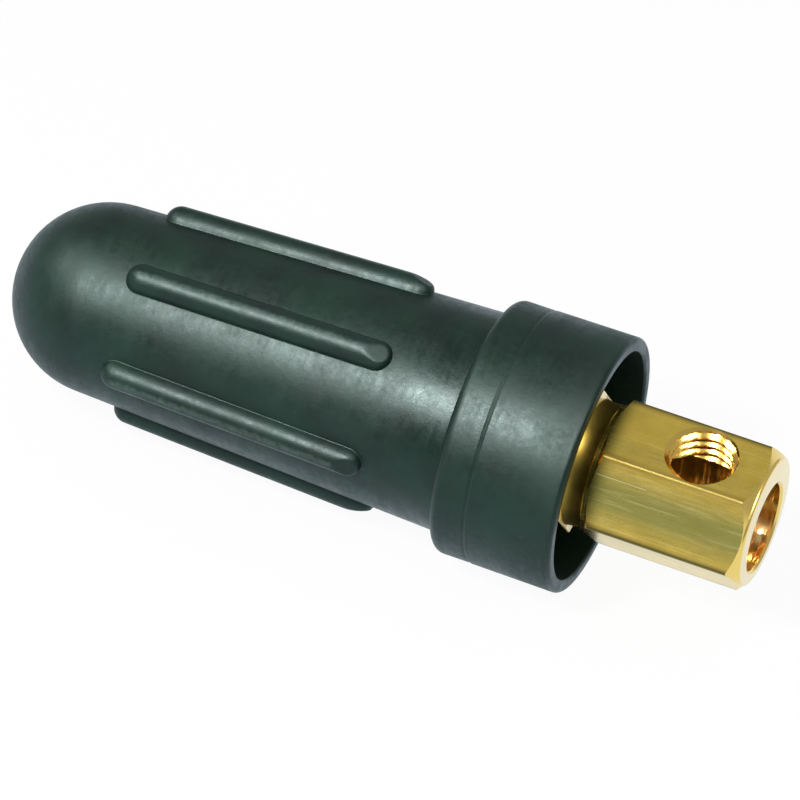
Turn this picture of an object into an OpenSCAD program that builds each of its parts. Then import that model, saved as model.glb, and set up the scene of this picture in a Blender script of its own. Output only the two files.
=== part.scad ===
// Twist-lock welding cable plug: a moulded rubber boot with a brass
// clamp insert seated in its skirt. Millimetres, +X out of the skirt.

/* [Boot skirt] */
// Outer diameter of the skirt at its rim
skirt_d = 43.0; // [42.8:0.1:46]
// Outer diameter of the skirt at its shoulder
skirt_back_d = 42.6; // [41:0.1:43]
// Length of the skirt from the rim to the shoulder
skirt_len = 21.2; // [20:0.2:28]
// Thickness of the skirt's wall at the rim
skirt_wall = 2.3; // [1.8:0.05:2.6]
// Depth of the skirt's open mouth
mouth_depth = 11.4; // [9:0.2:14]
// Radius of the fillet round the mouth's floor
mouth_fillet_r = 1.2; // [0.6:0.1:2]
// Radius of the lip's outer edge
lip_outer_r = 0.8; // [0.4:0.1:1]
// Radius of the lip's inner edge
lip_inner_r = 0.5; // [0.3:0.1:0.7]
// Radius of the shoulder's outer corner
shoulder_r = 2.0; // [1:0.1:2]
// Radius of the fillet between the shoulder and the grip
shoulder_fillet_r = 0.8; // [0.3:0.1:0.8]
// Distance of the mould crease from the rim
crease_from_rim = 15.0; // [14:0.2:18]
// Depth of the mould crease
crease_depth = 0.2; // [0.1:0.05:0.4]

/* [Boot grip] */
// Length of the whole boot
boot_len = 101.2; // [98:0.2:112]
// Diameter of the grip where it meets the shoulder
grip_d = 36.9; // [35:0.1:38]
// Diameter of the domed closed end
dome_d = 31.4; // [30:0.1:34]
// Number of grip ribs
rib_count = 6; // [4:1:8]
// Width of a rib where it meets the grip
rib_w = 5.0; // [3.6:0.1:6]
// Height of a rib above the grip
rib_h = 2.4; // [1.2:0.1:2.4]
// Distance of the ribs' front ends from the rim
rib_start = 34.0; // [30:0.5:38]
// Length of the ribs
rib_len = 46.0; // [36:0.5:50]

/* [Boot inside] */
// Length of the seat that grips the insert
seat_len = 4.0; // [3:0.1:6]
// Play of the insert's neck along the retaining ring
ring_play = 0.2; // [0.1:0.1:1]
// How far the pocket squeezes the clamp section's corners in use
pocket_squeeze = 0.7; // [0.2:0.1:1.2]
// Room left in the pocket behind the clamp section in use
pocket_room = 2.5; // [1:0.5:6]
// Diameter of the cable passage next to the pocket
passage_d = 15.0; // [14.5:0.5:19]
// Diameter of the cable passage at the domed end
passage_end_d = 13.0; // [12:0.5:15]
// Thickness of the closed end
dome_wall = 6.0; // [3:0.5:8]

/* [Insert body] */
// Width of the hexagonal bar across its flats
hex_af = 22.0; // [21.6:0.1:24]
// Length of the clamp section
clamp_len = 27.5; // [26:0.5:32]
// Length of the turned neck
neck_len = 3.2; // [3:0.1:6]
// Diameter of the turned neck
neck_d = 21.0; // [18:0.1:21.4]
// Length of the shoulder section, which seats in the boot
shoulder_len = 13.0; // [8:0.5:14]
// Diameter of the turned land at the ends of the clamp section
land_d = 21.8; // [21.4:0.1:22]
// Length of the turned land
land_len = 0.8; // [0.4:0.1:1.2]
// Width of the bevel round the end face
end_bevel = 0.25; // [0.1:0.05:0.4]
// Angle of the corner chamfer from the end face
chamfer_angle = 33; // [25:1:40]
// Direction of the clamp screw's flat about the axis, from +Y
flat_angle = 99; // [85:1:115]

/* [Insert bores] */
// Diameter of the cable bore
bore_d = 14.8; // [12.5:0.1:15]
// Depth of the cable bore at its full diameter
bore_depth = 25.0; // [20:0.5:26]
// Offset of the cable bore away from the clamp screw
bore_offset = 1.4; // [0:0.1:1.5]
// Width of the chamfer at the bore's mouth
mouth_chamfer = 0.4; // [0.2:0.1:1]
// Diameter of the clamp screw's hole
screw_d = 12.0; // [10:0.5:12]
// Distance of the clamp screw from the end face
screw_from_end = 11.4; // [9:0.2:13]

/* [Locking pin] */
// Diameter of the pin
pin_d = 13.0; // [11:0.1:13.6]
// Length of the pin behind the shoulder section
pin_len = 37.0; // [30:0.5:40]
// Chamfer round the pin's tip
tip_chamfer = 1.2; // [0.5:0.1:2]
// Width of the locking lug
lug_w = 5.0; // [4:0.1:6]
// Length of the locking lug
lug_len = 8.0; // [6:0.1:10]
// Height of the locking lug above the pin
lug_h = 2.6; // [2:0.1:3.2]
// Distance of the locking lug from the shoulder section
lug_start = 16.0; // [10:0.5:18]

/* [Hidden] */
$fn = 96;
// Gap between the insert and the rubber round its corners and neck
fit_gap = 0.1;
// How far a cut runs out past the face that it opens
run_out = 1;
// A drill leaves a cone of this half angle at the bottom
drill_half_angle = 59;
rubber_colour = "#2f3a39";
brass_colour = "#b99a3f";

skirt_r = skirt_d / 2;
skirt_back_r = skirt_back_d / 2;
skirt_draft = atan((skirt_r - skirt_back_r) / skirt_len);
mouth_r = skirt_r - skirt_wall;
grip_r = grip_d / 2;
dome_r = dome_d / 2;
dome_z = dome_r - boot_len;

// The step from the grip to the skirt limits the two roundings in it
step = skirt_back_r - grip_r;
shoulder_q = min(shoulder_r, 0.7 * step);
fillet_q = min(shoulder_fillet_r, 0.28 * step);

// A rib is the part of a rod that stands out of the grip
rib_r = (pow(rib_w / 2, 2) + pow(rib_h, 2)) / (2 * rib_h);
rib_sink = rib_r - rib_h;

// The grip is a cone tangent to the dome, and this is its half angle
grip_run = -skirt_len - dome_z;
grip_taper = acos(dome_r / norm([grip_r, grip_run])) - atan(grip_run / grip_r);

corner_r = hex_af / 2 / cos(30);
land_r = land_d / 2;
neck_r = neck_d / 2;
bore_r = bore_d / 2;
pin_r = pin_d / 2;

// Inside of the boot, from the mouth's floor back to the dome
seat_r = corner_r + fit_gap;
ring_r = neck_r + fit_gap;
pocket_r = corner_r - pocket_squeeze;
floor_z = -mouth_depth;
ring_z = floor_z - seat_len;
pocket_z = ring_z - neck_len + ring_play;
passage_z = pocket_z - clamp_len - pocket_room;
passage_end_z = dome_wall + passage_end_d / 2 - boot_len;

// Stations of the insert, whose shoulder sits on the retaining ring
shoulder_z = ring_z + shoulder_len;
clamp_z = shoulder_z + neck_len;
end_z = clamp_z + clamp_len;
tip_z = ring_z - pin_len;

// Radius of the skirt and of the grip at a station along the axis
function skirt_at(z) = skirt_r + z * tan(skirt_draft);
function grip_at(z) = grip_r + (z + skirt_len) * tan(grip_taper);

// Lays the axis along X, with the origin under the middle of the
// length, on the surface that the skirt lies on
module laid_down() {
  translate([(boot_len - end_z) / 2, 0, skirt_r]) rotate([90, 0, 90]) children();
}

// Half section of the boot's outside: dome, grip, shoulder and skirt
module boot_outside() {
  shoulder_c = [skirt_back_r - shoulder_q * (1 - sin(skirt_draft)) / cos(skirt_draft),
    shoulder_q - skirt_len];
  lip_c = [skirt_r - lip_outer_r * (1 + sin(skirt_draft)) / cos(skirt_draft), -lip_outer_r];
  side = [cos(skirt_draft), -sin(skirt_draft)];
  intersection() {
    translate([0, -boot_len]) square([dome_r, dome_r]);
    translate([0, dome_z]) circle(dome_r);
  }
  polygon([
    [0, dome_z], [dome_r * cos(grip_taper), dome_z - dome_r * sin(grip_taper)],
    [grip_r, -skirt_len], [shoulder_c.x, -skirt_len], shoulder_c,
    shoulder_c + shoulder_q * side, lip_c + lip_outer_r * side, lip_c,
    [lip_c.x, 0], [0, 0]
  ]);
  translate(shoulder_c) circle(shoulder_q);
  translate(lip_c) circle(lip_outer_r);
  shoulder_fillet();
}

// Fills the corner between the grip and the shoulder to a small radius
module shoulder_fillet() {
  grip_side = [cos(grip_taper), -sin(grip_taper)];
  centre = [grip_r + fillet_q * (1 - sin(grip_taper)) / cos(grip_taper), -skirt_len - fillet_q];
  difference() {
    polygon([
      [grip_r, -skirt_len], centre - fillet_q * grip_side, centre, [centre.x, -skirt_len]
    ]);
    translate(centre) circle(fillet_q);
  }
}

// Half section of the boot's hollow: mouth, seat, ring, pocket, passage
module boot_hollow() {
  lip_c = [mouth_r + lip_inner_r, -lip_inner_r];
  floor_c = [mouth_r - mouth_fillet_r, floor_z + mouth_fillet_r];
  end_r = passage_end_d / 2;
  difference() {
    polygon([
      [0, run_out], [lip_c.x, run_out], lip_c, [mouth_r, lip_c.y],
      [mouth_r, floor_c.y], floor_c, [floor_c.x, floor_z],
      [seat_r, floor_z], [seat_r, ring_z], [ring_r, ring_z], [ring_r, pocket_z],
      [pocket_r, pocket_z], [pocket_r, passage_z], [passage_d / 2, passage_z],
      [end_r, passage_end_z], [0, passage_end_z]
    ]);
    translate(lip_c) circle(lip_inner_r);
  }
  translate(floor_c) circle(mouth_fillet_r);
  intersection() {
    translate([0, passage_end_z - end_r]) square([end_r, end_r]);
    translate([0, passage_end_z]) circle(end_r);
  }
}

// The fine crease that the mould leaves round the skirt
module crease() {
  reach = 2 * crease_depth;
  translate([skirt_at(-crease_from_rim), -crease_from_rim])
    polygon([[-crease_depth, 0], [crease_depth, -reach], [crease_depth, reach]]);
}

// A rib with a round back that lies on the grip and ends in round noses
module rib() {
  front_z = -rib_start - rib_w / 2;
  back_z = rib_w / 2 - rib_start - rib_len;
  front = [grip_at(front_z) - rib_sink, 0, front_z];
  back = [grip_at(back_z) - rib_sink, 0, back_z];
  translate(back) rotate([0, grip_taper, 0]) {
    cylinder(h = norm(front - back), r = rib_r);
    for (z = [0, norm(front - back)]) translate([0, 0, z]) rotate([0, 90, 0]) sphere(rib_r);
  }
}

module boot() {
  color(rubber_colour) laid_down() {
    rotate([0, 0, 180 / rib_count]) rotate_extrude() difference() {
      boot_outside();
      boot_hollow();
      crease();
    }
    for (i = [0:rib_count - 1]) rotate([0, 0, 360 * i / rib_count]) rib();
  }
}

// A length of the hexagonal bar, turned so that a flat faces the screw
module hex_bar(from_z, to_z) {
  rotate([0, 0, flat_angle - 30]) translate([0, 0, from_z])
    cylinder(h = to_z - from_z, r = corner_r, $fn = 6);
}

// The clamp section: hexagonal, with its corners turned down at both
// ends to a short round land
module clamp_section() {
  turned_r = corner_r + run_out;
  taper_len = (turned_r - land_r) * tan(chamfer_angle);
  intersection() {
    hex_bar(clamp_z, end_z);
    rotate_extrude() polygon([
      [0, clamp_z], [land_r, clamp_z], [land_r, clamp_z + land_len],
      [turned_r, clamp_z + land_len + taper_len],
      [turned_r, end_z - land_len - taper_len],
      [land_r, end_z - land_len], [land_r, end_z - end_bevel],
      [land_r - end_bevel, end_z], [0, end_z]
    ]);
  }
}

// The locking pin, with a chamfered tip and a lug on its side
module locking_pin() {
  rotate_extrude() polygon([
    [0, tip_z], [pin_r - tip_chamfer, tip_z], [pin_r, tip_z + tip_chamfer],
    [pin_r, ring_z + run_out], [0, ring_z + run_out]
  ]);
  rotate([0, 0, flat_angle]) translate([0, 0, ring_z - lug_start - lug_len])
    intersection() {
      translate([0, -lug_w / 2, 0]) cube([pin_r + lug_h, lug_w, lug_len]);
      cylinder(h = lug_len, r = pin_r + lug_h);
    }
}

// The drilled cable bore, off the axis so that the wall under the
// clamp screw is the thick one
module cable_bore() {
  bottom_z = end_z - bore_depth;
  mouth_r2 = bore_r + mouth_chamfer + run_out;
  rotate([0, 0, flat_angle]) translate([-bore_offset, 0, 0]) rotate_extrude() polygon([
    [0, bottom_z - bore_r / tan(drill_half_angle)], [bore_r, bottom_z],
    [bore_r, end_z - mouth_chamfer], [mouth_r2, end_z + run_out], [0, end_z + run_out]
  ]);
}

module screw_hole() {
  rotate([0, 0, flat_angle]) translate([0, 0, end_z - screw_from_end]) rotate([0, 90, 0])
    cylinder(h = hex_af / 2 + run_out, d = screw_d);
}

module insert() {
  color(brass_colour) laid_down() difference() {
    union() {
      clamp_section();
      translate([0, 0, shoulder_z - run_out]) cylinder(h = neck_len + 2 * run_out, r = neck_r);
      hex_bar(ring_z, shoulder_z);
      locking_pin();
    }
    cable_bore();
    screw_hole();
  }
}

boot();
insert();
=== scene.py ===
"""Looks of the twist-lock welding cable connector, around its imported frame."""
from math import cos, pi, radians, sin, sqrt, tan

import bmesh
import bpy
import numpy as np
from mathutils import Matrix, Vector


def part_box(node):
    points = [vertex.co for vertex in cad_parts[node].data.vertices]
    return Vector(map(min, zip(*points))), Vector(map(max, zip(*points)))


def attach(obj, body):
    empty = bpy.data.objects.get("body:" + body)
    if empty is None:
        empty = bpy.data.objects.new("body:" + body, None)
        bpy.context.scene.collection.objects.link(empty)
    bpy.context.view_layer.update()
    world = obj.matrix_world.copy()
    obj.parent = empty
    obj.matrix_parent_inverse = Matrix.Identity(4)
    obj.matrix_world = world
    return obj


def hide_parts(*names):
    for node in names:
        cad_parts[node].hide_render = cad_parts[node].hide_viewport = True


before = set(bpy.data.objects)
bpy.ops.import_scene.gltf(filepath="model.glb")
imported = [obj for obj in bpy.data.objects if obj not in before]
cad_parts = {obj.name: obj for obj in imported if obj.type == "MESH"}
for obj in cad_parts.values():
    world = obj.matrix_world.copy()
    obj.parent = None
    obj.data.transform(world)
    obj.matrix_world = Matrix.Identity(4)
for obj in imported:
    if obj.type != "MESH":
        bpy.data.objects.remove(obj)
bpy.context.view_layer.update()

# Boot shell
# The boot is one moulding of dark green-black rubber: a domed end, a slightly
# conical grip, a shoulder and a thin open skirt. It comes off a core and out
# of a split mould, which leaves a satin skin and a fine crease round the skirt.

MM = 0.001
RIM_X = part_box("boot")[1][0] / MM
SKIRT_R = 21.5
SKIRT_BACK_R = 21.3
SKIRT_LEN = 21.2
SHOULDER_ROUND = 1.6
RIM_ROUND = 0.8
LIP_ROUND = 0.5
MOUTH_R = 19.2
MOUTH_DEPTH = 11.4
MOUTH_FILLET = 1.2
CREASE_Z = -15.0
CREASE_DEPTH = 0.2
CREASE_HALF_WIDTH = 2 * CREASE_DEPTH
CREASE_STEP = 0.06
CREASE_ROUND = 0.1
CREASE_ROOT_ROUND = 0.06
GRIP_R = 18.45
GRIP_FILLET = 0.35
DOME_R = 15.7
BOOT_LEN = 101.2
DOME_Z = DOME_R - BOOT_LEN
SEAT_R = 12.8
SEAT_ROUND = 0.3
RING_R = 10.6
RING_Z = -15.4
RING_ROUND = 0.2
POCKET_R = 12.0
POCKET_Z = -18.4
PASSAGE_Z = -48.4
PASSAGE_R = 7.5
PASSAGE_ROUND = 0.3
PASSAGE_END_R = 6.5
PASSAGE_END_Z = -88.7
DOME_ROWS = 24
INNER_DOME_ROWS = 10
SHELL_STEP = 1.0
SHELL_COLUMNS = 216
ARC_STEPS = 8
WELD_DISTANCE = 1e-7
SHARP_ANGLE = radians(38)

RUBBER_DARK = "#06170e"
RUBBER_PALE = "#0c271b"
RUBBER_SHEEN = "#e6fbf7"
DUST_COLOUR = "#6c7873"
RUBBED_COLOUR = "#71827a"
CLOUD_SIZE = 9
PATCH_SIZE = 4
GRAIN_SIZE = 0.9
DUST_SIZE = 0.7
TOOL_MARK_SIZE = 0.9
TOOL_MARK_STRETCH = 0.1
LUMP_HEIGHT = 0.6
GRAIN_HEIGHT = 0.06

# Where the grip is polished, the rim dull and the lip smooth: millimetres
# behind the rim where that starts and where it is full, and its full amount.
POLISH = (34, 25, 0.095)
DULL_RIM = (10, 1, 0.1)
SMOOTH_LIP = (0.9, 0.5, 0.16)

GRIP_RUN = -SKIRT_LEN - DOME_Z
TANGENT_ANGLE = np.arccos(DOME_R / np.hypot(GRIP_R, GRIP_RUN))
GRIP_TAPER = TANGENT_ANGLE - np.arctan(GRIP_RUN / GRIP_R)


def grip_radius(z):
    """Radius of the grip's cone: it grows evenly from the dome to the shoulder."""
    return GRIP_R + (z + SKIRT_LEN) * np.tan(GRIP_TAPER)


def skirt_radius(z):
    """Radius of the skirt, which widens evenly from the shoulder to the rim."""
    return SKIRT_R + z * (SKIRT_R - SKIRT_BACK_R) / SKIRT_LEN


def rounded(corners):
    """Half section through corners (z, r, radius): each corner with a radius is
    replaced by the arc that touches both of its sides."""
    path = []
    for i, (z, r, radius) in enumerate(corners):
        here = np.array([z, r])
        if radius == 0:
            path.append(here[None])
            continue
        back = np.array(corners[i - 1][:2]) - here
        ahead = np.array(corners[i + 1][:2]) - here
        back, ahead = back / np.linalg.norm(back), ahead / np.linalg.norm(ahead)
        half = np.arccos(np.clip(back @ ahead, -1, 1)) / 2
        middle = (back + ahead) / np.linalg.norm(back + ahead)
        centre = here + middle * radius / np.sin(half)
        turn = np.linspace(pi / 2 - half, half - pi / 2, ARC_STEPS + 1)[:, None]
        side = back - (back @ middle) * middle
        side = side / np.linalg.norm(side)
        path.append(centre + radius * (np.sin(turn) * side - np.cos(turn) * middle))
    return np.concatenate(path)


def respaced(path, step):
    """The same half section with points added so that none are further apart
    than about one step along it."""
    run = np.concatenate([[0], np.cumsum(np.linalg.norm(np.diff(path, axis=0), axis=1))])
    stations = np.union1d(run, np.arange(0, run[-1], step))
    return np.stack([np.interp(stations, run, path[:, k]) for k in (0, 1)], axis=1)


def laid_down(z, r, angle):
    """Points at a distance r from the connector's axis, at an angle from +Y
    towards +Z, z in front of the rim: the axis runs along X, a skirt's radius up."""
    return MM * np.stack(
        np.broadcast_arrays(z + RIM_X, r * np.cos(angle), SKIRT_R + r * np.sin(angle)), axis=-1
    )


def skin(name, sheets):
    """One mesh from sheets of points (rows by columns), each closed round its
    columns. Neighbouring points make quads, and points in one place are merged."""
    points, faces, start = [], [], 0
    for sheet in sheets:
        rows, columns = sheet.shape[:2]
        index = start + np.arange(rows * columns).reshape(rows, columns)
        ahead = np.roll(index, -1, axis=1)
        quads = np.stack([index[:-1], ahead[:-1], ahead[1:], index[1:]], axis=-1)
        points.append(sheet.reshape(-1, 3))
        faces.append(quads.reshape(-1, 4))
        start += rows * columns
    mesh = bpy.data.meshes.new(name)
    mesh.from_pydata(np.concatenate(points).tolist(), [], np.concatenate(faces).tolist())
    work = bmesh.new()
    work.from_mesh(mesh)
    bmesh.ops.remove_doubles(work, verts=work.verts, dist=WELD_DISTANCE)
    bmesh.ops.recalc_face_normals(work, faces=work.faces)
    work.to_mesh(mesh)
    work.free()
    mesh.shade_smooth()
    mesh.set_sharp_from_angle(angle=SHARP_ANGLE)
    piece = bpy.data.objects.new(name, mesh)
    bpy.context.scene.collection.objects.link(piece)
    return piece


def linear(colour):
    """The linear RGBA of an sRGB hex colour, by the sRGB curve."""
    share = np.array([int(colour[i:i + 2], 16) for i in (1, 3, 5)]) / 255
    low, high = share / 12.92, ((share + 0.055) / 1.055) ** 2.4
    return (*np.where(share <= 0.04045, low, high).tolist(), 1.0)


def add(tree, kind, inputs=None, **settings):
    """Adds one node with its settings. Inputs give each socket its value, or
    the output socket that is linked into it."""
    node = tree.nodes.new(kind)
    for name, value in settings.items():
        setattr(node, name, value)
    for name, value in (inputs or {}).items():
        if isinstance(value, bpy.types.NodeSocket):
            tree.links.new(value, node.inputs[name])
        else:
            node.inputs[name].default_value = value
    return node


def per_mm(size):
    """The scale of a texture whose pattern repeats about every size millimetres."""
    return 1 / (size * MM)


def new_material(name):
    """An empty node material, and its tree."""
    material = bpy.data.materials.new(name)
    material.use_nodes = True
    material.node_tree.nodes.clear()
    return material, material.node_tree


def moulded_rubber(name, worn):
    """Chloroprene rubber from a satin steel mould. To the eye it is nearly black
    with a green cast, with a soft broad highlight, faint cloudy patches of bloom,
    pale dust specks, a fine grain and faint tool marks round the axis. Hands have
    polished the front of the grip, and the rim is dull up to its smooth lip.
    Where worn, the crests are rubbed pale."""
    material, tree = new_material(name)
    place = add(tree, "ShaderNodeTexCoord").outputs["Object"]
    cloud = add(tree, "ShaderNodeTexNoise", {
        "Vector": place, "Scale": per_mm(CLOUD_SIZE), "Detail": 4, "Roughness": 0.6})
    patches = add(tree, "ShaderNodeTexNoise", {
        "Vector": place, "Scale": per_mm(PATCH_SIZE), "Detail": 3, "Roughness": 0.65})
    grain = add(tree, "ShaderNodeTexNoise", {
        "Vector": place, "Scale": per_mm(GRAIN_SIZE), "Detail": 5, "Roughness": 0.7})
    dust = add(tree, "ShaderNodeTexNoise", {
        "Vector": place, "Scale": per_mm(DUST_SIZE), "Detail": 1, "Roughness": 0.5})
    round_axis = add(tree, "ShaderNodeMapping", {
        "Vector": place, "Scale": (1, TOOL_MARK_STRETCH, TOOL_MARK_STRETCH)})
    tool_marks = add(tree, "ShaderNodeTexNoise", {
        "Vector": round_axis.outputs["Vector"], "Scale": per_mm(TOOL_MARK_SIZE),
        "Detail": 3, "Roughness": 0.6})
    tone = add(tree, "ShaderNodeValToRGB", {"Fac": cloud.outputs["Fac"]})
    for stop, position, colour in zip(
            tone.color_ramp.elements, (0.35, 0.65), (RUBBER_DARK, RUBBER_PALE)):
        stop.position = position
        stop.color = linear(colour)
    speck = add(tree, "ShaderNodeMapRange", {
        "Value": dust.outputs["Fac"], "From Min": 0.76, "From Max": 0.88, "To Max": 0.2})
    base = add(tree, "ShaderNodeMix", {
        "Factor": speck.outputs["Result"], "A": tone.outputs["Color"],
        "B": linear(DUST_COLOUR)}, data_type="RGBA")
    if worn:
        height = add(tree, "ShaderNodeAttribute", attribute_name="crest")
        rubbed = add(tree, "ShaderNodeMath", {
            0: height.outputs["Fac"], 1: grain.outputs["Fac"]}, operation="MULTIPLY")
        share = add(tree, "ShaderNodeMapRange", {
            "Value": rubbed.outputs["Value"], "From Min": 0.27, "From Max": 0.58, "To Max": 0.27})
        base = add(tree, "ShaderNodeMix", {
            "Factor": share.outputs["Result"], "A": base.outputs["Result"],
            "B": linear(RUBBED_COLOUR)}, data_type="RGBA")

    along = add(tree, "ShaderNodeSeparateXYZ", {"Vector": place}).outputs["X"]
    on_grip = add(tree, "ShaderNodeMath", {
        0: along, 1: (RIM_X - SKIRT_LEN) * MM}, operation="LESS_THAN")
    handled, dull_rim, lip = (
        add(tree, "ShaderNodeMapRange", {
            "Value": along, "From Min": (RIM_X - start) * MM, "From Max": (RIM_X - full) * MM,
            "To Max": most}, interpolation_type="SMOOTHSTEP")
        for start, full, most in (POLISH, DULL_RIM, SMOOTH_LIP))
    polish = add(tree, "ShaderNodeMath", {
        0: handled.outputs["Result"], 1: on_grip.outputs["Value"]}, operation="MULTIPLY")
    matt = add(tree, "ShaderNodeMapRange", {
        "Value": grain.outputs["Fac"], "From Min": 0.3, "From Max": 0.7,
        "To Min": 0.36, "To Max": 0.49})
    marked = add(tree, "ShaderNodeMapRange", {
        "Value": tool_marks.outputs["Fac"], "From Min": 0.3, "From Max": 0.7,
        "To Min": -0.01, "To Max": 0.07})
    patchy = add(tree, "ShaderNodeMapRange", {
        "Value": patches.outputs["Fac"], "From Min": 0.35, "From Max": 0.65,
        "To Min": -0.03, "To Max": 0.05})
    gloss = add(tree, "ShaderNodeMath", {
        0: matt.outputs["Result"], 1: polish.outputs["Value"]}, operation="SUBTRACT")
    for effect, operation in (
            (marked, "ADD"), (patchy, "ADD"), (dull_rim, "ADD"), (lip, "SUBTRACT")):
        gloss = add(tree, "ShaderNodeMath", {
            0: gloss.outputs["Value"], 1: effect.outputs["Result"]}, operation=operation)
    lumps = add(tree, "ShaderNodeBump", {
        "Height": cloud.outputs["Fac"], "Strength": 0.16, "Distance": LUMP_HEIGHT * MM})
    fine = add(tree, "ShaderNodeBump", {
        "Height": grain.outputs["Fac"], "Normal": lumps.outputs["Normal"],
        "Strength": 0.75 if worn else 0.45, "Distance": GRAIN_HEIGHT * MM})
    surface = add(tree, "ShaderNodeBsdfPrincipled", {
        "Base Color": base.outputs["Result"], "Roughness": gloss.outputs["Value"],
        "Normal": fine.outputs["Normal"], "IOR": 1.5,
        "Specular IOR Level": 0.32, "Specular Tint": linear(RUBBER_SHEEN)})
    add(tree, "ShaderNodeOutputMaterial", {"Surface": surface.outputs["BSDF"]})
    return material


dome = np.linspace(-pi / 2, -GRIP_TAPER, DOME_ROWS)
dome_section = np.stack(
    [DOME_Z + DOME_R * np.sin(dome), DOME_R * np.cos(dome)], axis=1)
crease_r = skirt_radius(CREASE_Z)
outside = rounded([
    (DOME_Z - DOME_R * np.sin(GRIP_TAPER), DOME_R * np.cos(GRIP_TAPER), 0),
    (-SKIRT_LEN, GRIP_R, GRIP_FILLET),
    (-SKIRT_LEN, SKIRT_BACK_R, SHOULDER_ROUND),
    (CREASE_Z - CREASE_HALF_WIDTH, crease_r - CREASE_STEP, CREASE_ROUND),
    (CREASE_Z, crease_r - CREASE_DEPTH, CREASE_ROOT_ROUND),
    (CREASE_Z + CREASE_HALF_WIDTH, crease_r, CREASE_ROUND),
    (0, SKIRT_R, RIM_ROUND),
    (0, MOUTH_R, LIP_ROUND),
    (-MOUTH_DEPTH, MOUTH_R, MOUTH_FILLET),
    (-MOUTH_DEPTH, SEAT_R, SEAT_ROUND),
    (RING_Z, SEAT_R, 0),
    (RING_Z, RING_R, RING_ROUND),
    (POCKET_Z, RING_R, RING_ROUND),
    (POCKET_Z, POCKET_R, 0),
    (PASSAGE_Z, POCKET_R, 0),
    (PASSAGE_Z, PASSAGE_R, PASSAGE_ROUND),
    (PASSAGE_END_Z, PASSAGE_END_R, 0),
])
inner_dome = np.linspace(0, -pi / 2, INNER_DOME_ROWS)[1:]
inner_section = np.stack(
    [PASSAGE_END_Z + PASSAGE_END_R * np.sin(inner_dome), PASSAGE_END_R * np.cos(inner_dome)],
    axis=1)
section = respaced(np.concatenate([dome_section, outside, inner_section]), SHELL_STEP)
section[[0, -1], 1] = 0
around = np.linspace(0, 2 * pi, SHELL_COLUMNS, endpoint=False)
shell = skin("boot_shell", [laid_down(section[:, :1], section[:, 1:], around[None])])
shell.data.materials.append(moulded_rubber("moulded_rubber", worn=False))
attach(shell, "root")

# Grip ribs
# Six ribs of the same moulding give the hand its hold. Each has a round back,
# follows the cone and ends in round noses, and years of hands and bench tops
# have rubbed its crest pale.

RIB_COUNT = 6
RIB_W = 5.0
RIB_H = 2.4
RIB_START = 34.0
RIB_LEN = 46.0
RIB_FOOT = 0.15
RIB_ROOT = -0.9
ROOT_EDGE = (0.3, -0.1)
NOSE_H = 1.1
NOSE_LEN = 4.2
NOSE_EDGE = 0.12
RIB_R = ((RIB_W / 2) ** 2 + RIB_H ** 2) / (2 * RIB_H)
RIB_SINK = RIB_R - RIB_H
RIB_BACK_ROWS = 14
RIB_FOOT_ROWS = 7
RIB_SIDE_COLUMNS = 84
RIB_NOSE_COLUMNS = 17
CREST_POWER = 14


def rib_section():
    """Offsets from the rib's middle line and heights over the grip: a round back,
    an arc that runs out into the grip, and a flat root below the surface."""
    foot = sqrt((RIB_R + RIB_FOOT) ** 2 - (RIB_FOOT + RIB_SINK) ** 2)
    lean = np.arctan2(foot, RIB_FOOT + RIB_SINK)
    back = np.linspace(0, lean, RIB_BACK_ROWS)
    run_out = np.linspace(lean, 0, RIB_FOOT_ROWS)[1:]
    offset = np.concatenate([
        RIB_R * np.sin(back), foot - RIB_FOOT * np.sin(run_out),
        [foot + ROOT_EDGE[0], RIB_R, 0]])
    height = np.concatenate([
        RIB_R * np.cos(back) - RIB_SINK, RIB_FOOT - RIB_FOOT * np.cos(run_out),
        [ROOT_EDGE[1], RIB_ROOT, RIB_ROOT]])
    return offset, height


def rib_sheet(angle):
    """A rib's surface: its half section carried round a long oval, two straight
    sides along the grip and a half circle at each end, then laid on the cone.
    Over its last few millimetres a slanting cut brings the front nose down."""
    offset, height = rib_section()
    run = RIB_LEN - RIB_W
    sides = np.linspace(0, run, RIB_SIDE_COLUMNS)
    turn = np.linspace(0, pi, RIB_NOSE_COLUMNS)[1:-1]
    along = np.concatenate([sides, np.full(turn.size, run), sides[::-1], np.zeros(turn.size)])
    lead = np.concatenate([0 * sides, np.sin(turn), 0 * sides, -np.sin(turn)])
    across = np.concatenate([0 * sides + 1, np.cos(turn), 0 * sides - 1, -np.cos(turn)])
    start_z = -RIB_START - RIB_W / 2 - run
    slant = along[None] + offset[:, None] * lead[None]
    z = start_z + slant * np.cos(GRIP_TAPER)
    side = offset[:, None] * across[None]
    ramp = NOSE_H + (run + RIB_W / 2 - slant) * (RIB_H - NOSE_H) / NOSE_LEN
    gap = height[:, None] - ramp
    height = (height[:, None] + ramp - np.sqrt(gap ** 2 + NOSE_EDGE ** 2)) / 2
    on_cone = grip_radius(z)
    follow = np.clip(1 - height / RIB_H, 0, 1)
    drop = follow * side ** 2 / (2 * on_cone)
    out = on_cone + height - drop
    return laid_down(z, np.hypot(out, side), angle + np.arctan2(side, out))


ribs = skin("boot_ribs", [rib_sheet(2 * pi * i / RIB_COUNT) for i in range(RIB_COUNT)])
place = np.empty(len(ribs.data.vertices) * 3)
ribs.data.vertices.foreach_get("co", place)
place = place.reshape(-1, 3) / MM
over = np.hypot(place[:, 1], place[:, 2] - SKIRT_R) - grip_radius(place[:, 0] - RIM_X)
crest = ribs.data.attributes.new("crest", "FLOAT", "POINT")
crest.data.foreach_set("value", np.clip(over / RIB_H, 0, 1) ** CREST_POWER)
ribs.data.materials.append(moulded_rubber("rubbed_rubber", worn=True))
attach(ribs, "root")
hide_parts("boot")

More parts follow.
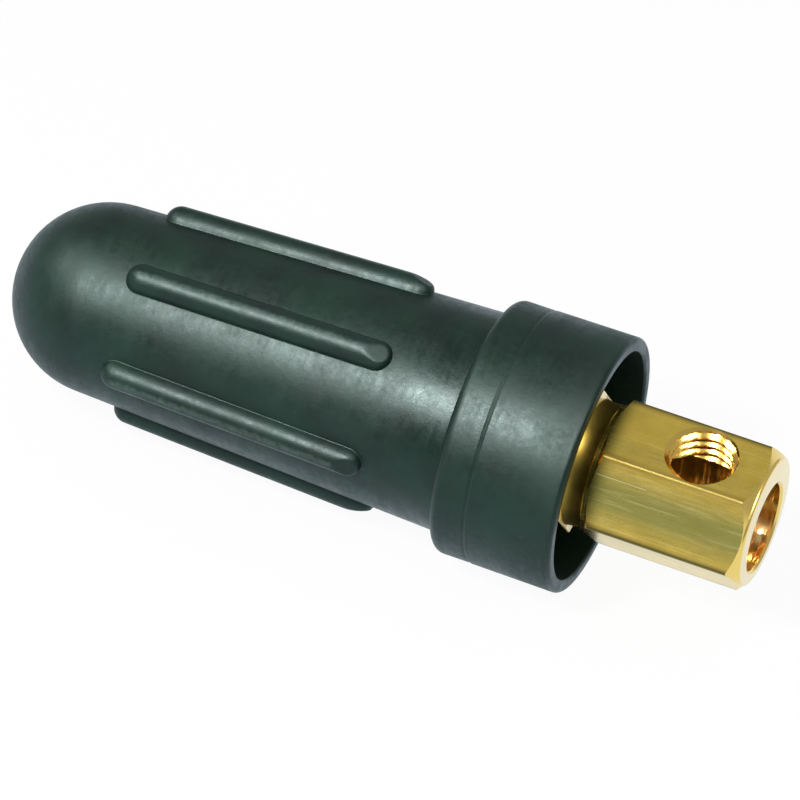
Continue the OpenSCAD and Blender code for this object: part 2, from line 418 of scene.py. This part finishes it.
# Clamp insert
# One piece of free-cutting brass, turned from drawn hexagonal bar. The flats
# keep their drawn skin; ends, neck and chamfers are turned bright, and the
# cable bore and the clamp screw's M12 hole are drilled and tapped into it.

HEX_SIDES = 6
HEX_APOTHEM = 11.0
FLAT_ANGLE = radians(99)
EDGE_SHARPNESS = 70
CLAMP_Z = 0.8
END_Z = 28.3
SHOULDER_Z = -2.4
SHOULDER_BEVEL = 0.15
LAND_R = 10.9
LAND_LEN = 0.8
END_BEVEL = 0.25
CHAMFER_SLOPE = tan(radians(33))
END_ROUND = 0.5
END_SLOPE = 0.817
END_RING_R = 3
NECK_R = 10.5
NECK_HOLLOW = 0.25
PIN_R = 6.5
PIN_TIP_Z = -52.4
TIP_CHAMFER = 1.2
LUG_HALF_ANGLE = radians(16)
LUG_R = 9.1
LUG_Z = (-39.4, -31.4)
LUG_ROOT = 1
BORE_R = 7.4
BORE_DEPTH = 25.0
BORE_OFFSET = 1.4
BORE_ROW = 8
MOUTH_CHAMFER = 0.4
DRILL_SLOPE = tan(radians(59))
PAST_END = 1
SCREW_Z = END_Z - 11.4
THREAD_PITCH = 1.75
THREAD_ROOT_R = 5.95
THREAD_CREST_R = 5.05
THREAD_RIM = 0.02
THREAD_SLOPE = 1.6
THREAD_CREST_SHARE = 0.3
TAP_HEIGHTS = (2.5, HEX_APOTHEM + 1.01)
INSERT_SHARP_ANGLE = radians(24)

# Degrees from a corner of the bar at which its surface has points.
CORNER_STEPS = (0, 0.25, 0.5, 0.8, 1.2, 1.8, 3, 5.5, 9, 14, 20, 25)
END_ROUND_ROWS = 7
FLANK_ROWS = 10
NECK_ROWS = 9
LUG_COLUMNS = 9
BORE_COLUMNS = 128
THREAD_COLUMNS = 120
ROWS_A_PITCH = 20


def hexagon(angle):
    """Distance of the hexagonal bar's side from its axis: each flat pulls it to
    its apothem, and a high power of their sum rounds the corners a little."""
    flats = FLAT_ANGLE + np.arange(HEX_SIDES) * pi / 3
    pull = np.clip(np.cos(angle[..., None] - flats), 0, None) / HEX_APOTHEM
    return np.sum(pull ** EDGE_SHARPNESS, axis=-1) ** (-1 / EDGE_SHARPNESS)


def bar_angles():
    """Angles round the bar, close together at its six corners."""
    spread = radians(1) * np.array(CORNER_STEPS)
    half = np.concatenate([spread, [radians(30)], (radians(60) - spread[:0:-1])])
    corners = FLAT_ANGLE + radians(30) + np.arange(HEX_SIDES) * pi / 3
    return (corners[:, None] + half[None]).ravel()


def insert_sheet():
    """The insert's outside, row by row: stations along the axis and radii are
    round on turned rows and hexagonal on drawn rows. The end face's rim is an
    arc, the neck a shallow parabola, and the chamfer's row follows the curve
    where its cone leaves each flat."""
    angle = bar_angles()
    side = hexagon(angle)
    same = np.ones_like(angle)
    front = END_Z - END_ROUND - (side - LAND_R) * END_SLOPE
    back = CLAMP_Z + LAND_LEN + (side - LAND_R) * CHAMFER_SLOPE
    rows = [(END_Z * same, 0 * same), (END_Z * same, END_RING_R * same)]
    for turn in np.linspace(pi / 2, 0, END_ROUND_ROWS):
        rows.append(((END_Z - END_ROUND + END_ROUND * np.sin(turn)) * same,
                     (LAND_R - END_ROUND + END_ROUND * np.cos(turn)) * same))
    rows += [(front + share * (back - front), side) for share in np.linspace(0, 1, FLANK_ROWS)]
    rows += [
        ((CLAMP_Z + LAND_LEN) * same, LAND_R * same),
        ((CLAMP_Z + END_BEVEL) * same, LAND_R * same),
        (CLAMP_Z * same, (LAND_R - END_BEVEL) * same),
    ]
    for share in np.linspace(1, -1, NECK_ROWS):
        rows.append((((CLAMP_Z + SHOULDER_Z) / 2 + share * (CLAMP_Z - SHOULDER_Z) / 2) * same,
                     (NECK_R + NECK_HOLLOW * (share ** 2 - 0.5)) * same))
    rows += [
        (SHOULDER_Z * same, side - SHOULDER_BEVEL),
        ((SHOULDER_Z - SHOULDER_BEVEL) * same, side),
        (RING_Z * same, side),
        (RING_Z * same, PIN_R * same),
        ((PIN_TIP_Z + TIP_CHAMFER) * same, PIN_R * same),
        (PIN_TIP_Z * same, (PIN_R - TIP_CHAMFER) * same),
        (PIN_TIP_Z * same, 0 * same),
    ]
    z = np.stack([row[0] for row in rows])
    r = np.stack([row[1] for row in rows])
    return laid_down(z, r, angle[None])


def lug_sheet():
    """The locking lug: a section between two radii and two angles of the pin,
    carried along the axis and closed by the middle of each end."""
    turn = np.concatenate([np.linspace(-1, 1, LUG_COLUMNS), [1, -1]]) * LUG_HALF_ANGLE
    r = np.concatenate([np.full(LUG_COLUMNS, LUG_R), [PIN_R - LUG_ROOT, PIN_R - LUG_ROOT]])
    closed = 0 * r + PIN_R + LUG_ROOT
    radii = np.stack([closed, r, r, closed])
    z = np.array([LUG_Z[0], LUG_Z[0], LUG_Z[1], LUG_Z[1]])[:, None]
    spread = np.array([0, 1, 1, 0])[:, None] * turn
    return laid_down(z, radii, FLAT_ANGLE + spread)


def offset_from_axis(points, shift):
    """Moves laid-down points along the clamp screw's direction by shift mm."""
    return points + MM * shift * np.array([0, cos(FLAT_ANGLE), sin(FLAT_ANGLE)])


def bore_sheet():
    """The cable drill's shape: a cone at the bottom, a straight wall and a small
    chamfer at the mouth, off the axis away from the screw."""
    angle = np.linspace(0, 2 * pi, BORE_COLUMNS, endpoint=False)
    bottom = END_Z - BORE_DEPTH
    wide = BORE_R + MOUTH_CHAMFER + PAST_END
    half = np.array([
        (bottom - BORE_R / DRILL_SLOPE, 0),
        (bottom, BORE_R),
        (bottom + BORE_ROW, BORE_R),
        (bottom + 2 * BORE_ROW, BORE_R),
        (END_Z - MOUTH_CHAMFER, BORE_R),
        (END_Z + PAST_END, wide),
        (END_Z + PAST_END, 0),
    ])
    return offset_from_axis(laid_down(half[:, :1], half[:, 1:], angle[None]), -BORE_OFFSET)


def thread_sheet():
    """The tap's shape along the screw's direction: its radius swings between
    crest and root once a pitch, and a pitch further on for each turn round. It
    widens to a chamfer where it leaves the flat."""
    angle = np.linspace(0, 2 * pi, THREAD_COLUMNS, endpoint=False)[None]
    height = np.arange(*TAP_HEIGHTS, THREAD_PITCH / ROWS_A_PITCH)[:, None]
    phase = height / THREAD_PITCH - angle / (2 * pi)
    swing = np.abs(2 * (phase - np.floor(phase)) - 1)
    flank = np.clip(swing * THREAD_SLOPE - THREAD_CREST_SHARE, 0, 1)
    radius = THREAD_CREST_R + (THREAD_ROOT_R - THREAD_CREST_R) * flank
    radius = np.maximum(radius, THREAD_ROOT_R + THREAD_RIM - (HEX_APOTHEM - height))
    zero = 0 * angle[None, 0]
    radius = np.concatenate([zero, radius, zero])
    height = np.concatenate([height[:1], height, height[-1:]])
    along = SCREW_Z + radius * np.cos(angle)
    across = radius * np.sin(angle)
    y = height * cos(FLAT_ANGLE) - across * sin(FLAT_ANGLE)
    up = height * sin(FLAT_ANGLE) + across * cos(FLAT_ANGLE)
    return MM * np.stack(np.broadcast_arrays(along + RIM_X, y, SKIRT_R + up), axis=-1)


insert = skin("brass_insert", [insert_sheet()])
for operation, cutter in (
    ("UNION", skin("locking_lug", [lug_sheet()])),
    ("DIFFERENCE", skin("cable_drill", [bore_sheet()])),
    ("DIFFERENCE", skin("screw_tap", [thread_sheet()])),
):
    cut = insert.modifiers.new(cutter.name, "BOOLEAN")
    cut.operation = operation
    cut.solver = "EXACT"
    cut.object = cutter
    bpy.context.view_layer.update()
    cut_mesh = bpy.data.meshes.new_from_object(
        insert.evaluated_get(bpy.context.evaluated_depsgraph_get()))
    insert.modifiers.clear()
    insert.data = cut_mesh
    bpy.data.objects.remove(cutter)
insert.data.shade_smooth()
insert.data.set_sharp_from_angle(angle=INSERT_SHARP_ANGLE)

DRAWN_GOLD = "#e8c058"
# Painted shade and reflection: the middle of the front flat is painted greener and darker.
FRONT_FLAT_SHADE = "#aea055"
TARNISH = "#a08e3c"
DIE_LINE = "#eddc9a"
PIT = "#6a5f2c"
# Painted shade: the flats are painted darker towards the skirt's mouth.
MOUTH_SHADE = "#6a6028"
BARE_SCRATCH = "#fff4c8"
# Painted shade: the bar's corners are painted darker, which dims their highlight.
CORNER_SHADE = "#63562a"
TARNISH_SIZE = 4
DIE_LINE_SIZE = 0.5
DIE_LINE_STRETCH = 0.04
DIE_LINE_HEIGHT = 0.03
PIT_SIZE = 0.35
DENT_HEIGHT = 0.2
# Where the painted shade by the mouth ends, in millimetres in front of the rim.
MOUTH_SHADE_END = 5
CORNER_FROM = radians(25)
CORNER_FULL = radians(29)
CORNER_ROUGHNESS = 0.26
SCRATCH_TURN = radians(-15.5)
SCRATCH_Z = 6.5
SCRATCH_LEN = 8.5
SCRATCH_WIDTH = 0.12
SCRATCH_SHARE = 0.6


def drawn_brass():
    """Free-cutting brass as drawn through a hexagonal die. It is a dull gold with fine
    lengthwise die lines, cloudy tarnish, a few tiny pits and one long scratch. The middle
    of the front flat is painted greener and darker, as painted shade and reflection. It is
    painted darker towards the skirt's mouth, as painted shade, and its corners are worn
    dull and painted darker, as painted shade that dims their highlight."""
    material, tree = new_material("drawn_brass")
    place = add(tree, "ShaderNodeTexCoord").outputs["Object"]
    split = add(tree, "ShaderNodeSeparateXYZ", {"Vector": place})
    height = add(tree, "ShaderNodeMath", {
        0: split.outputs["Z"], 1: SKIRT_R * MM}, operation="SUBTRACT")
    angle = add(tree, "ShaderNodeMath", {
        0: height.outputs["Value"], 1: split.outputs["Y"]}, operation="ARCTAN2")
    from_flat = add(tree, "ShaderNodeMath", {
        0: angle.outputs["Value"], 1: FLAT_ANGLE}, operation="SUBTRACT")
    from_middle = add(tree, "ShaderNodeMath", {
        0: from_flat.outputs["Value"], 1: pi / 6}, operation="PINGPONG")
    from_front = add(tree, "ShaderNodeMath", {
        0: angle.outputs["Value"], 1: FLAT_ANGLE + pi / 3}, operation="SUBTRACT")
    facing_front = add(tree, "ShaderNodeMath", {
        0: from_front.outputs["Value"]}, operation="COSINE")
    stretch = add(tree, "ShaderNodeMapping", {
        "Vector": place, "Scale": (DIE_LINE_STRETCH, 1, 1)})
    tarnish = add(tree, "ShaderNodeTexNoise", {
        "Vector": place, "Scale": per_mm(TARNISH_SIZE), "Detail": 5, "Roughness": 0.6})
    lines = add(tree, "ShaderNodeTexNoise", {
        "Vector": stretch.outputs["Vector"], "Scale": per_mm(DIE_LINE_SIZE),
        "Detail": 5, "Roughness": 0.65})
    pits = add(tree, "ShaderNodeTexNoise", {
        "Vector": place, "Scale": per_mm(PIT_SIZE), "Detail": 2, "Roughness": 0.5})

    middle = add(tree, "ShaderNodeMapRange", {
        "Value": from_middle.outputs["Value"], "From Min": radians(27), "From Max": radians(8)})
    front = add(tree, "ShaderNodeMapRange", {
        "Value": facing_front.outputs["Value"], "From Min": 0.6, "From Max": 0.87})
    # Painted shade and reflection on the middle of the front flat.
    green = add(tree, "ShaderNodeMath", {
        0: middle.outputs["Result"], 1: front.outputs["Result"]}, operation="MULTIPLY")
    cloud = add(tree, "ShaderNodeMapRange", {
        "Value": tarnish.outputs["Fac"], "From Min": 0.35, "From Max": 0.7, "To Max": 0.3})
    line_share = add(tree, "ShaderNodeMath", {
        0: front.outputs["Result"], 1: 0.25, 2: 0.12}, operation="MULTIPLY_ADD")
    line = add(tree, "ShaderNodeMapRange", {
        "Value": lines.outputs["Fac"], "From Min": 0.52, "From Max": 0.72,
        "To Max": line_share.outputs["Value"]})
    pit = add(tree, "ShaderNodeMapRange", {
        "Value": pits.outputs["Fac"], "From Min": 0.33, "From Max": 0.27, "To Max": 0.4})
    # Painted shade, darker towards the skirt's mouth.
    mouth_shade = add(tree, "ShaderNodeMapRange", {
        "Value": split.outputs["X"], "From Min": (RIM_X + CLAMP_Z) * MM,
        "From Max": (RIM_X + MOUTH_SHADE_END) * MM, "To Min": 0.9, "To Max": 0},
        interpolation_type="SMOOTHSTEP")
    on_scratch = add(tree, "ShaderNodeMath", {
        0: from_front.outputs["Value"], 1: SCRATCH_TURN,
        2: SCRATCH_WIDTH / HEX_APOTHEM / 2}, operation="COMPARE")
    in_scratch = add(tree, "ShaderNodeMath", {
        0: split.outputs["X"], 1: (RIM_X + SCRATCH_Z) * MM, 2: SCRATCH_LEN / 2 * MM},
        operation="COMPARE")
    scratch = add(tree, "ShaderNodeMath", {
        0: on_scratch.outputs["Value"], 1: in_scratch.outputs["Value"]}, operation="MULTIPLY")
    scratch = add(tree, "ShaderNodeMath", {
        0: scratch.outputs["Value"], 1: SCRATCH_SHARE}, operation="MULTIPLY")
    # Painted shade on the corners, which dims their highlight; it also makes them rougher.
    corner = add(tree, "ShaderNodeMapRange", {
        "Value": from_middle.outputs["Value"], "From Min": CORNER_FROM, "From Max": CORNER_FULL})

    base = linear(DRAWN_GOLD)
    for share, colour in (
        (green.outputs["Value"], FRONT_FLAT_SHADE),
        (cloud.outputs["Result"], TARNISH),
        (line.outputs["Result"], DIE_LINE),
        (pit.outputs["Result"], PIT),
        (mouth_shade.outputs["Result"], MOUTH_SHADE),
        (scratch.outputs["Value"], BARE_SCRATCH),
        (corner.outputs["Result"], CORNER_SHADE),
    ):
        base = add(tree, "ShaderNodeMix", {
            "Factor": share, "A": base, "B": linear(colour)}, data_type="RGBA").outputs["Result"]

    worn_corner = add(tree, "ShaderNodeMath", {
        0: corner.outputs["Result"], 1: CORNER_ROUGHNESS}, operation="MULTIPLY")
    gloss = add(tree, "ShaderNodeMapRange", {
        "Value": lines.outputs["Fac"], "From Min": 0.3, "From Max": 0.7,
        "To Min": 0.2, "To Max": 0.3})
    gloss = add(tree, "ShaderNodeMath", {
        0: gloss.outputs["Result"], 1: worn_corner.outputs["Value"]})
    bump = add(tree, "ShaderNodeBump", {
        "Height": lines.outputs["Fac"], "Strength": 0.2, "Distance": DIE_LINE_HEIGHT * MM})
    dents = add(tree, "ShaderNodeBump", {
        "Height": tarnish.outputs["Fac"], "Normal": bump.outputs["Normal"],
        "Strength": 0.12, "Distance": DENT_HEIGHT * MM})
    surface = add(tree, "ShaderNodeBsdfPrincipled", {
        "Base Color": base, "Metallic": 1.0,
        "Roughness": gloss.outputs["Value"], "Normal": dents.outputs["Normal"]})
    add(tree, "ShaderNodeOutputMaterial", {"Surface": surface.outputs["BSDF"]})
    return material


HANDLING_SIZE = 2.5
GROOVE_SIZE = 1.6
GROOVE_STRETCH = 0.15
GROOVE_HEIGHT = 0.5
BORE_GROOVES = 0.6


def cut_brass(name, colour, roughness, grooves=0):
    """Brass fresh from the tool: bright and smooth. To the eye it is pale where it
    faces the table, with faint cloudy handling marks in its gloss. A drill leaves
    grooves round the axis, which catch glints."""
    material, tree = new_material(name)
    place = add(tree, "ShaderNodeTexCoord").outputs["Object"]
    marks = add(tree, "ShaderNodeTexNoise", {
        "Vector": place, "Scale": per_mm(HANDLING_SIZE), "Detail": 4, "Roughness": 0.6})
    gloss = add(tree, "ShaderNodeMapRange", {
        "Value": marks.outputs["Fac"], "From Min": 0.3, "From Max": 0.7,
        "To Min": roughness - 0.03, "To Max": roughness + 0.04})
    round_axis = add(tree, "ShaderNodeMapping", {
        "Vector": place, "Scale": (1, GROOVE_STRETCH, GROOVE_STRETCH)})
    turns = add(tree, "ShaderNodeTexNoise", {
        "Vector": round_axis.outputs["Vector"], "Scale": per_mm(GROOVE_SIZE), "Detail": 2})
    bump = add(tree, "ShaderNodeBump", {
        "Height": turns.outputs["Fac"], "Strength": grooves, "Distance": GROOVE_HEIGHT * MM})
    surface = add(tree, "ShaderNodeBsdfPrincipled", {
        "Base Color": linear(colour), "Metallic": 1.0, "Roughness": gloss.outputs["Result"],
        "Normal": bump.outputs["Normal"]})
    add(tree, "ShaderNodeOutputMaterial", {"Surface": surface.outputs["BSDF"]})
    return material


insert.data.materials.clear()
for finish in (
    drawn_brass(),
    cut_brass("turned_brass", "#ebc56c", roughness=0.24),
    cut_brass("bored_brass", "#f2d08c", roughness=0.18, grooves=BORE_GROOVES),
    cut_brass("tapped_brass", "#e3b95e", roughness=0.14),
    # Painted shade: the neck gets a darker brass than the other turned faces, for the shade in
    # the skirt's mouth.
    cut_brass("shaded_neck_brass", "#bc9d46", roughness=0.34),
    # Painted reflection: the end faces get a paler brass than the turned faces, for the white
    # table that they mirror.
    cut_brass("faced_brass_reflection", "#efd296", roughness=0.24),
):
    insert.data.materials.append(finish)
DRAWN, TURNED, BORED, TAPPED, SHADED_NECK, FACED_REFLECTION = range(len(insert.data.materials))

# How far, in millimetres, a face may lie from the surface that it belongs to,
# and how far its normal may lean along the axis or the screw's direction.
BORE_SLACK = 0.02
FLAT_SLACK = 0.03
NECK_SLACK = 0.05
LAND_SLACK = 0.1
ALONG_BAR = 0.1
OUT_OF_END = 0.9
OUT_OF_FLAT = 0.95

count = len(insert.data.polygons)
middle, facing = np.empty(count * 3), np.empty(count * 3)
insert.data.polygons.foreach_get("center", middle)
insert.data.polygons.foreach_get("normal", facing)
middle, facing = middle.reshape(-1, 3) / MM, facing.reshape(-1, 3)
middle -= [RIM_X, 0, SKIRT_R]
station = middle[:, 0]
distance = np.hypot(middle[:, 1], middle[:, 2])
screw_way = np.array([0, cos(FLAT_ANGLE), sin(FLAT_ANGLE)])

from_bore = middle + BORE_OFFSET * screw_way
bore_gap = np.hypot(from_bore[:, 1], from_bore[:, 2])
inward = np.einsum("ij,ij->i", facing[:, 1:], middle[:, 1:])
in_bore = (bore_gap < BORE_R + BORE_SLACK) & (inward < 0) & (station > 0)

from_screw = middle - [SCREW_Z, 0, 0]
depth = from_screw @ screw_way
screw_gap = np.linalg.norm(from_screw - np.outer(depth, screw_way), axis=1)
in_thread = (screw_gap < THREAD_ROOT_R + THREAD_RIM) & (depth > 0)
in_thread &= np.abs(facing @ screw_way) < OUT_OF_FLAT

in_neck = (station > SHOULDER_Z) & (station < CLAMP_Z + END_BEVEL)
in_neck &= distance < LAND_R + NECK_SLACK
on_flat = (distance > HEX_APOTHEM - FLAT_SLACK) & (np.abs(facing[:, 0]) < ALONG_BAR)
on_land = (distance > LAND_R - LAND_SLACK) & (station > CLAMP_Z) & (station < CLAMP_Z + LAND_LEN)
on_end = facing[:, 0] > OUT_OF_END
# Neck faces take the brass painted darker for shade, end faces the brass painted paler for
# reflection.
kind = np.select(
    [in_neck, in_thread, in_bore, on_flat | on_land, on_end],
    [SHADED_NECK, TAPPED, BORED, DRAWN, FACED_REFLECTION], TURNED).astype(np.int32)
insert.data.polygons.foreach_set("material_index", kind)
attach(insert, "root")
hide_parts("insert")

# Studio
# A plain white table in a pale room, brighter above and behind the object than
# at the camera's side. One weak key lamp lights every colour, and three sheen
# lamps, at the camera and towards the object's ends, show only in gloss.

FLOOR_R = 1.6
FLOOR_COLUMNS = 96
TABLE_COLOUR = "#f4f4f2"
TABLE_WHITE = "#ffffff"
TABLE_MIRRORED = "#e6f3ff"
CAMERA_SHARE = 0.95
MIRROR_SHARE = 0.9
MIRROR_GAIN = 0.25


def pale_table():
    """Matt white board. Camera rays see it close to white and mirror-like rays see
    it a little bluish, and the rest is the lamps' own light, so the shadow stays."""
    material, tree = new_material("pale_table")
    ray = add(tree, "ShaderNodeLightPath")
    mirrored = add(tree, "ShaderNodeMath", {
        0: ray.outputs["Is Glossy Ray"], 1: ray.outputs["Is Transmission Ray"]},
        operation="MAXIMUM")
    camera_share = add(tree, "ShaderNodeMath", {
        0: ray.outputs["Is Camera Ray"], 1: CAMERA_SHARE}, operation="MULTIPLY")
    mirror_share = add(tree, "ShaderNodeMath", {
        0: mirrored.outputs["Value"], 1: MIRROR_SHARE}, operation="MULTIPLY")
    share = add(tree, "ShaderNodeMath", {
        0: camera_share.outputs["Value"], 1: mirror_share.outputs["Value"]},
        operation="MAXIMUM")
    tint = add(tree, "ShaderNodeMix", {
        "Factor": mirrored.outputs["Value"], "A": linear(TABLE_WHITE),
        "B": linear(TABLE_MIRRORED)}, data_type="RGBA")
    board = add(tree, "ShaderNodeBsdfDiffuse", {"Color": linear(TABLE_COLOUR)})
    strength = add(tree, "ShaderNodeMath", {
        0: mirrored.outputs["Value"], 1: MIRROR_GAIN, 2: 1.0}, operation="MULTIPLY_ADD")
    glow = add(tree, "ShaderNodeEmission", {
        "Color": tint.outputs["Result"], "Strength": strength.outputs["Value"]})
    mixed = add(tree, "ShaderNodeMixShader", {
        0: share.outputs["Value"], 1: board.outputs["BSDF"], 2: glow.outputs["Emission"]})
    add(tree, "ShaderNodeOutputMaterial", {"Surface": mixed.outputs["Shader"]})
    return material


floor_angle = np.linspace(0, 2 * pi, FLOOR_COLUMNS, endpoint=False)
floor_edge = np.stack(
    [FLOOR_R * np.cos(floor_angle), FLOOR_R * np.sin(floor_angle), 0 * floor_angle], axis=1)
floor_mesh = bpy.data.meshes.new("table")
floor_mesh.from_pydata(floor_edge.tolist(), [], [list(range(FLOOR_COLUMNS))])
floor = bpy.data.objects.new("table", floor_mesh)
floor_mesh.materials.append(pale_table())
bpy.context.scene.collection.objects.link(floor)

ROOM_COLOUR = "#f2feff"
BRIGHT_WAY = (0.35, 0.42, 0.84)

world = bpy.data.worlds.new("pale_room")
world.use_nodes = True
world.node_tree.nodes.clear()
direction = add(world.node_tree, "ShaderNodeTexCoord").outputs["Generated"]
brightward = add(world.node_tree, "ShaderNodeVectorMath", {
    0: direction, 1: BRIGHT_WAY}, operation="DOT_PRODUCT")
brightness = add(world.node_tree, "ShaderNodeMapRange", {
    "Value": brightward.outputs["Value"], "From Min": -0.4, "From Max": 0.9,
    "To Min": 0.3, "To Max": 0.58})
room = add(world.node_tree, "ShaderNodeBackground", {
    "Color": linear(ROOM_COLOUR), "Strength": brightness.outputs["Result"]})
add(world.node_tree, "ShaderNodeOutputWorld", {"Surface": room.outputs["Background"]})
bpy.context.scene.world = world

TARGET = Vector((0.00177, 0, 0.02113))
KEY_WAY = (-0.21, -0.6, 0.77)
LEFT_WAY = (-0.73, -0.2, 0.65)
RIGHT_WAY = (0.4, -0.3, 0.865)


def lamp(name, way, distance, size, power, sheen_only=False):
    """A round soft lamp at a distance from the object, facing it. A sheen lamp
    shows in gloss and lights no matt colour, which stays at its plain level."""
    light = bpy.data.lights.new(name, "AREA")
    light.shape = "DISK"
    light.size = size
    light.energy = power
    made = bpy.data.objects.new(name, light)
    made.location = TARGET + Vector(way).normalized() * distance
    made.rotation_euler = Vector(way).to_track_quat("Z", "Y").to_euler()
    made.visible_diffuse = not sheen_only
    bpy.context.scene.collection.objects.link(made)


lamp("key_lamp", KEY_WAY, distance=0.5, size=0.1, power=2.0)
lamp("key_sheen", KEY_WAY, distance=0.5, size=0.1, power=4.6, sheen_only=True)
lamp("left_sheen", LEFT_WAY, distance=0.8, size=0.42, power=3.8, sheen_only=True)
lamp("right_sheen", RIGHT_WAY, distance=0.8, size=0.42, power=3.6, sheen_only=True)

AZIMUTH = radians(17.83)
ELEVATION = radians(41.5)
ROLL = radians(6.75)
CAMERA_DISTANCE = 2.0
LENS = 561.8
SENSOR = 36

toward = Vector((
    sin(AZIMUTH) * cos(ELEVATION), -cos(AZIMUTH) * cos(ELEVATION), sin(ELEVATION)))
sideways = Vector((cos(AZIMUTH), sin(AZIMUTH), 0))
upright = toward.cross(sideways)
right = cos(ROLL) * sideways + sin(ROLL) * upright
top = cos(ROLL) * upright - sin(ROLL) * sideways
camera_data = bpy.data.cameras.new("camera")
camera_data.lens = LENS
camera_data.sensor_width = SENSOR
camera = bpy.data.objects.new("camera", camera_data)
turn = Matrix((right, top, toward)).transposed()
camera.matrix_world = Matrix.Translation(TARGET + CAMERA_DISTANCE * toward) @ turn.to_4x4()
bpy.context.scene.collection.objects.link(camera)
bpy.context.scene.camera = camera
bpy.context.scene.view_settings.view_transform = "Standard"

bpy.context.view_layer.update()
